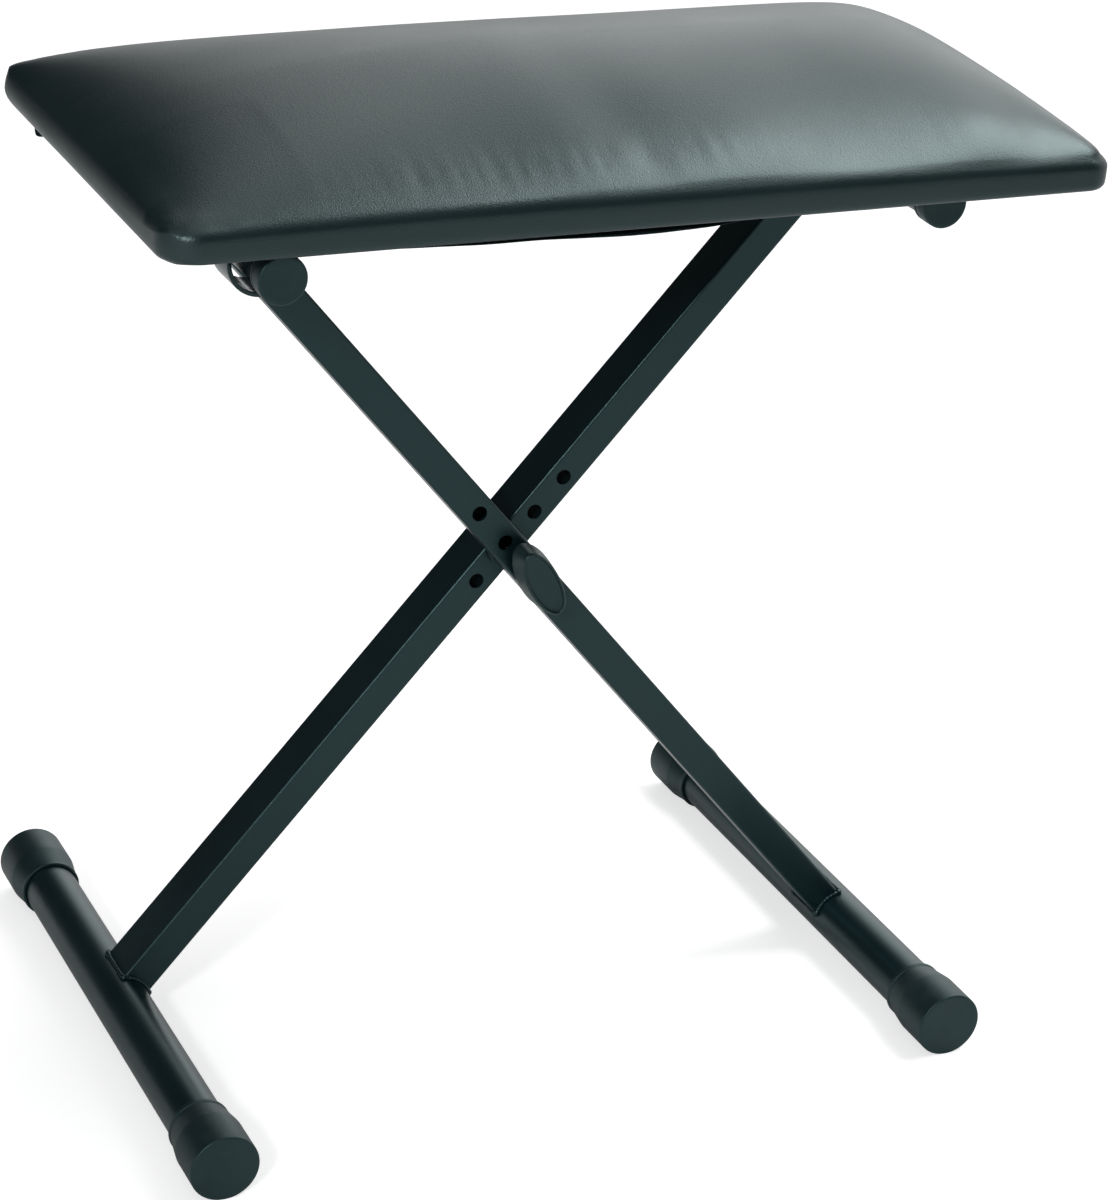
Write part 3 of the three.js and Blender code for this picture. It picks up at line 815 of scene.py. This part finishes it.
oval_knob()
bolt_thread()
washer("front_washer", "knob_washer", "zinc_steel", "bolt_slide")
washer("back_washer", "rear_washer", "zinc_steel", "rear_frame")
washer("sliding_spacer", "leg_spacer", "nylon_spacer", "rear_frame")
lock_nut()


# Seat brackets
strip_width = 22 * MM
strap_width = 25 * MM
strip_thickness = 2.5 * MM
strip_reach = 32 * MM
strap_loop = 17.6 * MM
strap_bend = 1.75 * MM
hook_lip = 8 * MM
screw_nodes = [
    f"{bracket}_screw_{side}"
    for bracket in ("strap_front", "strap_rear", "hook_front", "hook_rear") for side in ("left", "right")
]


def folded_strip(start, heading, moves, width, thickness):
    """Flat strip across Y that is run out and bent in the XZ plane: ("run", length) or
    ("bend", radius, degrees), to the left where the degrees are positive"""
    shape = bmesh.new()
    ends = [shape.verts.new((start[0], y, start[1])) for y in (-width / 2, width / 2)]
    edge = shape.edges.new(ends)
    at = Vector((start[0], 0, start[1]))
    turned = heading
    for move in moves:
        ahead = Vector((math.cos(turned), 0, math.sin(turned)))
        if move[0] == "run":
            grown = bmesh.ops.extrude_edge_only(shape, edges=[edge])["geom"]
            ends = [v for v in grown if isinstance(v, bmesh.types.BMVert)]
            lines = [e for e in grown if isinstance(e, bmesh.types.BMEdge)]
            edge = next(e for e in lines if all(v in ends for v in e.verts))
            bmesh.ops.translate(shape, vec=ahead * move[1], verts=ends)
            at += ahead * move[1]
            continue
        radius, angle = move[1], math.radians(move[2])
        side = 1 if angle > 0 else -1
        centre = at + side * radius * Vector((-ahead.z, 0, ahead.x))
        steps = max(4, round(abs(move[2]) / 7.5))
        grown = bmesh.ops.spin(
            shape, geom=[*edge.verts, edge], cent=centre, axis=(0, -1, 0), angle=angle, steps=steps,
        )["geom_last"]
        edge = next(e for e in grown if isinstance(e, bmesh.types.BMEdge))
        turned += angle
        spoke = at - centre
        at = centre + Matrix.Rotation(-angle, 3, "Y") @ spoke
    bmesh.ops.remove_doubles(shape, verts=shape.verts, dist=0.1 * merge_distance)
    bmesh.ops.recalc_face_normals(shape, faces=shape.faces)
    plate = working(shape)
    wall = plate.modifiers.new("wall", "SOLIDIFY")
    wall.thickness = thickness
    wall.offset = 0
    wall.use_even_offset = True
    solid = bmesh.new()
    solid.from_mesh(result(plate))
    return solid


def hinge_strap(end):
    """Strap that hangs in a loose U round the left top bar, with a flange to each side"""
    node = f"hinge_strap_{end}"
    axis = Vector((middle("left_top_bar").x, middle(node).y, middle("left_top_bar").z))
    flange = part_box(node)[1].z - axis.z - strip_thickness / 2
    axis.y += (strap_width - strip_width) / 2
    run = strip_reach - strap_loop - strap_bend
    drop = flange - strap_bend
    shape = folded_strip((-strip_reach, flange), 0, [
        ("run", run), ("bend", strap_bend, -90), ("run", drop), ("bend", strap_loop, 180),
        ("run", drop), ("bend", strap_bend, -90), ("run", run),
    ], strap_width, strip_thickness)
    soften(shape, hard_edge, 2, math.radians(50))
    moved(shape, Matrix.Translation(axis))
    new_piece(f"loose_strap_{end}", shape, "gloss_enamel", "seat", node, weighted=True)


def saddle_hook(end):
    """Hook over the right top bar, with a long inner lip and a short outer lip, under its plate"""
    node = f"saddle_hook_{end}"
    axis = Vector((middle("right_top_bar").x, middle(node).y, middle("right_top_bar").z))
    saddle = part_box(node)[1].z - axis.z - strip_thickness / 2
    shape = folded_strip((-saddle, -hook_lip), math.pi / 2, [
        ("run", hook_lip), ("bend", saddle, -135),
    ], strip_width, strip_thickness)
    plate = moved(block(2 * strip_reach, strip_width, strip_thickness), Matrix.Translation((0, 0, saddle)))
    whole = combined(shape, plate, "UNION")
    bmesh.ops.remove_doubles(whole, verts=whole.verts, dist=merge_distance)
    moved(whole, Matrix.Translation(axis))
    new_piece(f"saddle_{end}", whole, "gloss_enamel", "seat", node, weighted=True)


def bearing_plate(end):
    """Plate between a strap's flanges and the seat"""
    node = f"bearing_plate_{end}"
    size = reach(node)
    shape = soften(block(size.x, size.y, size.z), hard_edge, 2)
    moved(shape, Matrix.Translation(middle(node)))
    new_piece(f"bearing_strip_{end}", shape, "gloss_enamel", "seat", node, weighted=True)


def screw(node):
    """Pan head with a cross recess"""
    low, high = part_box(node)
    radius = (high.x - low.x) / 2
    shape = spun([
        (0, 0), (1.6 * MM, 0.03 * MM), (3.0 * MM, 0.35 * MM), (4.0 * MM, 1.05 * MM), (radius, 1.9 * MM),
        (radius, 2.45 * MM), (radius - 0.15 * MM, 2.6 * MM), (2.1 * MM, 2.6 * MM),
        (2.1 * MM, high.z - low.z - 2 * MM), (0, high.z - low.z),
    ], 40)
    moved(shape, Matrix.Rotation(math.pi / 2, 4, "X"))
    for turn in (0, math.pi / 2):
        slot = moved(block(4.6 * MM, 0.9 * MM, 3.0 * MM), Matrix.Rotation(turn + 0.4, 4, "Z"))
        shape = cut_away(shape, slot)
    moved(shape, Matrix.Translation((middle(node).x, middle(node).y, low.z)))
    new_piece(node.replace("_screw_", "_pan_head_"), shape, "black_screw", "seat", node)


for end in ("front", "rear"):
    hinge_strap(end)
    saddle_hook(end)
    bearing_plate(end)
for node in screw_nodes:
    screw(node)


# Seat
seat_centre = middle("seat_cover")
half_length = reach("seat_cover").x / 2
half_depth = reach("seat_cover").y / 2
seat_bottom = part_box("seat_cover")[0].z
left_corner = 20 * MM
right_corner = 14 * MM
draw_in = 3 * MM
corner_height = 17 * MM
front_rise = 2.6 * MM
rear_rise = 8 * MM
left_drop = 7 * MM
turn_under = 24 * MM
cover_wall = 1.2 * MM
crown = reach("seat_cover").z - corner_height


def rounded(x, y, half_x, half_y, corner):
    """A point of the square outline brought in to the outline with rounded corners"""
    over_x = abs(x) - (half_x - corner)
    over_y = abs(y) - (half_y - corner)
    if over_x > 0 and over_y > 0:
        bring_x = math.sqrt(1 - (over_y / corner) ** 2 / 2)
        bring_y = math.sqrt(1 - (over_x / corner) ** 2 / 2)
        x = math.copysign(half_x - corner + over_x * bring_x, x)
        y = math.copysign(half_y - corner + over_y * bring_y, y)
    return x, y


def side_height(u, v):
    """Height of the sides: lowest at the corners and along the left end"""
    higher = front_rise if v < 0 else rear_rise
    lower = left_drop * max(0, -u) ** 10 * (1 - v ** 6)
    return corner_height + higher * (1 - u * u) * abs(v) ** 6 - lower


def bell(value, centre, width):
    """1 at the centre, falling off smoothly to both sides"""
    return math.exp(-((value - centre) / width) ** 2)


# Stretches of the front edge where the vinyl is pulled down: middle, half width and strength
pulled_places = ((-70, 60, 0.35), (-10, 24, 0.6), (120, 52, 0.7), (228, 26, 0.8))


def pulled(x):
    """How hard the front edge is pulled down at x, from 0 to 1"""
    return min(1, sum(strength * bell(x, centre * MM, wide * MM) for centre, wide, strength in pulled_places))


# How flat the crown's top is toward each end, and how round it is where it meets the side
left_end = (1.7, 0.43)
right_end = (9.5, 1.17)
rear_edge = (1.42, 0.7)


def crown_height(u, v):
    """Height of the crown over its sides: soft to the left, full to the right, round to the front"""
    flatness, roundness = left_end if u < 0 else right_end
    along = max(0, 1 - abs(u) ** flatness) ** roundness
    if v < 0:
        pull = pulled(u * half_length)
        left = min(1, max(0, -u / 0.4))
        left *= left * (3 - 2 * left)
        flatness = 1.9 - 0.08 * left - 0.15 * pull
        roundness = 0.82 + 0.08 * left + 0.06 * pull
    else:
        flatness, roundness = rear_edge
    across = max(0, 1 - abs(v) ** flatness) ** roundness
    if min(along, across) < 1e-4:
        return 0
    hip = 3 if v > 0 else 2 if u > 0 else 1
    return crown * (along ** -hip + across ** -hip - 1) ** (-1 / hip)


# Low swells of the foam behind the front edge, in mm: x, distance from it, half widths and height
swells = ((-30, 27, 24, 20, 0.8), (58, 30, 26, 22, 0.9), (198, 26, 27, 20, 1.7))

# Smoothing near the near left corner, in mm: how far in it starts, its length and depth, and the passes
near_left_rounding = ((0, 36, 36, 14), (4, 56, 80, 40), (8, 66, 95, 50), (12, 80, 110, 70))


def swell(x, to_front):
    return sum(
        height * bell(x, middle_x * MM, wide * MM) * bell(to_front, back * MM, deep * MM)
        for middle_x, back, wide, deep, height in swells
    )


def puckers(x, y):
    """Small gathers of the vinyl where the crown falls to its sides, swells and unevenness of the foam"""
    to_front = y + half_depth
    to_back = half_depth - y
    to_end = half_length - abs(x)
    wave = 0.6 * noise.noise(Vector((x * 80, y * 9, 0.4))) + 0.6 * noise.noise(Vector((x * 165, y * 16, 3.1)))
    wave += 0.3 * noise.noise(Vector((x * 290, y * 26, 6.3)))
    along = noise.noise(Vector((x * 7, y * 58, 7.7))) + 0.5 * noise.noise(Vector((x * 11, y * 120, 9.2)))
    broad = noise.noise(Vector((x * 13, y * 9, 5.5)))
    front = (0.2 + 0.6 * bell(x, -50 * MM, 70 * MM)) * bell(to_front, 23 * MM, 13 * MM)
    calm = 1 - bell(to_end, 0, 34 * MM) * bell(to_front, 0, 34 * MM)
    return MM * calm * (
        wave * (front + 0.3 * bell(to_back, 14 * MM, 12 * MM))
        + 0.25 * along * bell(to_end, 14 * MM, 14 * MM)
        + 0.35 * broad
        + swell(x, to_front)
    )


def spread_lines(count):
    """Places from -1 to 1, closer together toward the ends"""
    steps = [-1 + 2 * k / count for k in range(1, count)]
    return [t * (1.25 - 0.25 * t * t) for t in steps]


def gridded(half_x, half_y, height, counts, levels):
    """Block from z = 0 up, cut into a grid along its length and depth and at some levels"""
    shape = moved(block(2 * half_x, 2 * half_y, height), Matrix.Translation((0, 0, height / 2)))
    cuts = [((u * half_x, 0, 0), (1, 0, 0)) for u in spread_lines(counts[0])]
    cuts += [((0, v * half_y, 0), (0, 1, 0)) for v in spread_lines(counts[1])]
    cuts += [((0, 0, share * height), (0, 0, 1)) for share in levels]
    for place, normal in cuts:
        bmesh.ops.bisect_plane(
            shape, geom=[*shape.verts, *shape.edges, *shape.faces], plane_co=place, plane_no=normal,
        )
    return shape


def cushion():
    """Crowned cushion: a fine grid over the top, sides that draw in, an edge turned under the board"""
    levels = (0.04, 0.1, 0.18, 0.28, 0.42, 0.56, 0.68, 0.76, 0.84, 0.92)
    shape = gridded(half_length, half_depth, 1, (190, 104), levels)
    opening = [
        f for f in shape.faces
        if f.normal.z < -0.9 and abs(f.calc_center_median().x) < half_length - turn_under
        and abs(f.calc_center_median().y) < half_depth - turn_under
    ]
    bmesh.ops.delete(shape, geom=opening, context="FACES")
    # The block is one metre high, so that up is a point's share of the height of its side
    for vert in shape.verts:
        x, y, up = vert.co
        u, v = x / half_length, y / half_depth
        edge = max(abs(u), abs(v))
        side = side_height(u, v)
        drawn = draw_in * (1 - max(0, -u) ** 30)
        rolled = (1.3 + 4 * max(0, -u) ** 12 * (0.5 + 0.5 * v)) * MM
        under = min(1, side * up / (2.2 * rolled))
        inward = drawn * max(0, (up - 0.68) / 0.32) ** 2 + rolled * (1 - under) ** 2
        inward -= 0.5 * MM * math.sin(math.pi * up) * (1 + noise.noise(Vector((x * 20, y * 20, 1.5))))
        x, y = rounded(x, y, half_length, half_depth, left_corner if x < 0 else right_corner)
        x *= 1 - inward * edge ** 3 / half_length
        y *= 1 - inward * edge ** 3 / half_depth
        height = side * up
        if up > 0.999:
            height += crown_height(u, v) + puckers(x, y) * (1 - edge ** 24)
        elif up < 0.001 and edge < 0.999:
            height -= 0.35 * MM * (1 + noise.noise(Vector((x * 55, y * 55, 4))))
        vert.co = (x, y, height)
    for inset, length, depth, passes in near_left_rounding:
        rounding = [
            v for v in shape.verts
            if v.co.z > 0.8 * corner_height
            and inset * MM - half_length <= v.co.x < length * MM - half_length
            and inset * MM - half_depth <= v.co.y < depth * MM - half_depth
        ]
        for _ in range(passes):
            bmesh.ops.smooth_vert(
                shape, verts=rounding, factor=0.5, use_axis_x=False, use_axis_y=False, use_axis_z=True,
            )
    moved(shape, Matrix.Translation((seat_centre.x, seat_centre.y, seat_bottom)))
    cover = working(shape)
    skin = cover.modifiers.new("skin", "SOLIDIFY")
    skin.thickness = cover_wall
    skin.offset = -1
    mesh = result(cover)
    piece = dressed("seat_cushion", mesh, "seat_vinyl", "seat", "seat_cover", sharp=math.pi)


def foam_core():
    """Foam with the cushion's own form, a little inside the cover"""
    node = "seat_foam"
    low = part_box(node)[0]
    clear = 2.4 * MM
    half_x = half_length - draw_in - clear
    half_y = half_depth - draw_in - clear
    shape = gridded(half_x, half_y, 1, (44, 26), ())
    for vert in shape.verts:
        x, y, up = vert.co
        u, v = x / half_x, y / half_y
        x, y = rounded(x, y, half_x, half_y, left_corner)
        top = seat_bottom + side_height(u, v) + 0.97 * crown_height(u, v) - clear
        vert.co = (x, y, low.z + up * max(0.4 * MM, top - low.z))
    moved(shape, Matrix.Translation((seat_centre.x, seat_centre.y, 0)))
    piece = new_piece("foam_pad", shape, "seat_foam", "seat", node)


# Stretches of the lining's edge that have come loose, in mm: the middle, the half width and the sag
loose_front = (-58, 118, 4.4)
loose_left = (92, 12, 4.3)


def sag(x, y, half_x, half_y):
    """How far a point of the lining hangs, and how far its edge creeps outwards"""
    middle_x, wide_x, deep_x = (value * MM for value in loose_front)
    place = (x - middle_x) / wide_x
    front = max(0, 1 - max(place, -place) ** 5) * (0.35 + 0.65 * min(1, max(0, (place + 1) / 1.5)))
    ragged = 1 + 0.2 * noise.noise(Vector((x * 24, 0, 8)))
    front *= ragged * max(0, 1 - (half_y + y) / (26 * MM)) ** 1.5
    middle_y, wide_y, deep_y = (value * MM for value in loose_left)
    left = bell(y, middle_y, wide_y) * max(0, 1 - (half_x + x) / (24 * MM)) ** 1.5
    return deep_x * front, deep_y * left


def lining():
    """Stapled lining that hangs from its staples along part of its front edge"""
    node = "seat_lining"
    half_x = reach(node).x / 2
    half_y = reach(node).y / 2
    shape = bmesh.new()
    bmesh.ops.create_grid(shape, x_segments=180, y_segments=96, size=1)
    bmesh.ops.scale(shape, vec=(half_x, half_y, 1), verts=shape.verts)
    for vert in shape.verts:
        x, y = vert.co.x, vert.co.y
        front, left = sag(x, y, half_x, half_y)
        px, py = rounded(x, y, half_x, half_y, 10 * MM)
        height = 0.2 * MM * noise.noise(Vector((x * 30, y * 30, 2))) - front - left
        vert.co = (px - 0.9 * left, py - 0.8 * front, height)
    moved(shape, Matrix.Translation(middle(node)))
    sheet = working(shape)
    wall = sheet.modifiers.new("wall", "SOLIDIFY")
    wall.thickness = 0.5 * MM
    wall.offset = 0
    mesh = result(sheet)
    piece = dressed("stapled_lining", mesh, "lining_felt", "seat", node)


def evenly(low, high, count):
    """Places from low to high, both of them included"""
    return [low + (high - low) * k / (count - 1) for k in range(count)]


def staples():
    """Wire staples round the lining's edge, none where it has come loose"""
    low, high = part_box("seat_lining")
    inset = 5 * MM
    corner_x = 22 * MM
    corner_y = 24 * MM
    chance = Random(5)
    places = []
    for x in evenly(low.x + corner_x, high.x - corner_x, 14):
        places += [(x, low.y + inset, 0), (x, high.y - inset, 0)]
    for y in evenly(low.y + corner_y, high.y - corner_y, 8):
        places += [(low.x + inset, y, math.pi / 2), (high.x - inset, y, math.pi / 2)]
    whole = bmesh.new()
    for x, y, turn in places:
        front, left = sag(x, y - seat_centre.y, (high.x - low.x) / 2, (high.y - low.y) / 2)
        if front + left > 0.3 * MM:
            continue
        wire = soften(block(9.5 * MM, 0.9 * MM, 0.6 * MM), 0.2 * MM, 2)
        tilt = Matrix.Rotation(turn + chance.uniform(-0.25, 0.25), 4, "Z")
        moved(wire, Matrix.Translation((x, y, low.z - 0.05 * MM)) @ tilt)
        whole = joined(whole, wire)
    new_piece("lining_staples", whole, "zinc_steel", "seat")


def board():
    """Plywood board with rounded corners and upper edges, drilled for the brackets' screws"""
    clear = 4.5 * MM
    size = reach("seat_board") - Vector((2 * clear, 2 * clear, 0))
    shape = block(size.x, size.y, size.z)
    upright = [e for e in shape.edges if abs(e.verts[0].co.z - e.verts[1].co.z) > size.z / 2]
    bmesh.ops.bevel(
        shape, geom=upright, offset=18 * MM, offset_type="OFFSET", segments=8, profile=0.5,
        affect="EDGES", material=-1,
    )
    top = [e for e in shape.edges if all(v.co.z > size.z / 2 - 1e-6 for v in e.verts)]
    bmesh.ops.bevel(
        shape, geom=top, offset=8 * MM, offset_type="OFFSET", segments=6, profile=0.5,
        affect="EDGES", material=-1,
    )
    holes = []
    for node in screw_nodes:
        place = middle(node) - middle("seat_board")
        hole = moved(cylinder(2.5 * MM, 20 * MM, 24), Matrix.Rotation(math.pi / 2, 4, "X"))
        holes.append(moved(hole, Matrix.Translation((place.x, place.y, -7 * MM))))
    shape = cut_away(shape, joined(*holes))
    moved(shape, Matrix.Translation(middle("seat_board")))
    new_piece("plywood_board", shape, "plywood", "seat", "seat_board")


cushion()
foam_core()
lining()
staples()
board()


# Floor, world and lamps
white = (1, 1, 1, 1)
floor_reach = 6


def floor_paper():
    """Pale floor that is white to the camera and still takes the bench's shadow"""
    shape = bmesh.new()
    bmesh.ops.create_grid(shape, x_segments=1, y_segments=1, size=floor_reach)
    mesh = bpy.data.meshes.new("floor")
    shape.to_mesh(mesh)
    shape.free()
    material = bpy.data.materials.new("floor_paper")
    paint = Paint(material)
    mottle = paint.noise(3, 2.0)
    tone = paint.mixed(mottle, (0.76, 0.765, 0.77, 1), (0.78, 0.78, 0.785, 1))
    seen = paint.node("ShaderNodeLightPath", {}, {}, "Is Camera Ray")
    glow = 0.02 + seen * 0.55
    shade(paint, base_color=tone, roughness=0.9, emission_color=white, emission_strength=glow)
    mesh.materials.append(material)
    floor = bpy.data.objects.new("floor", mesh)
    bpy.context.scene.collection.objects.link(floor)


def surroundings():
    """World that is white to the camera; to the bench it has two dark screens and a pale one"""
    world = bpy.data.worlds.new("studio")
    bpy.context.scene.world = world
    paint = Paint(world)
    ahead = paint.node("ShaderNodeTexCoord", {}, {}, "Generated")

    def toward(x, y, z, start, full):
        """How far a direction lies in a screen that starts and is full at these degrees from x, y, z"""
        direction = Vector((x, y, z)).normalized()
        settings = {"operation": "DOT_PRODUCT"}
        cosine = paint.node("ShaderNodeVectorMath", settings, {0: ahead, 1: direction}, "Value")
        low, high = math.cos(math.radians(start)), math.cos(math.radians(full))
        values = {"Value": cosine, "From Min": low, "From Max": high}
        return paint.node("ShaderNodeMapRange", {"interpolation_type": "SMOOTHSTEP"}, values)

    dark_left = toward(-0.6, 0.72, 0.36, 64, 36)
    dark_front = toward(0.3, -0.85, 0.36, 54, 24)
    pale_back = toward(0.54, 0.7, 0.46, 32, 6)
    seen = paint.node("ShaderNodeLightPath", {}, {}, "Is Camera Ray")
    level = (0.7 + 1.1 * pale_back) * (1 - 0.95 * dark_left) * (1 - 0.9 * dark_front)
    strength = level * (1 - seen) + seen
    surface = paint.node("ShaderNodeBackground", {}, {"Color": white, "Strength": strength})
    paint.node("ShaderNodeOutputWorld", {}, {"Surface": surface})


def lamp(name, place, aim, size, power):
    """Soft rectangular lamp, in metres and watts, that points from its place to its aim"""
    data = bpy.data.lights.new(name, "AREA")
    data.shape = "RECTANGLE"
    data.size, data.size_y = size
    data.energy = power
    light = bpy.data.objects.new(name, data)
    bpy.context.scene.collection.objects.link(light)
    light.location = place
    light.rotation_euler = (Vector(aim) - Vector(place)).to_track_quat("-Z", "Y").to_euler()


floor_paper()
surroundings()
lamp("overhead_right", (1.3, 0.05, 2.25), (0.1, 0, 0.5), (1.1, 0.9), 24)
lamp("front_left", (-1.9, -2.3, 1.9), (0, 0, 0.3), (0.36, 0.36), 36)
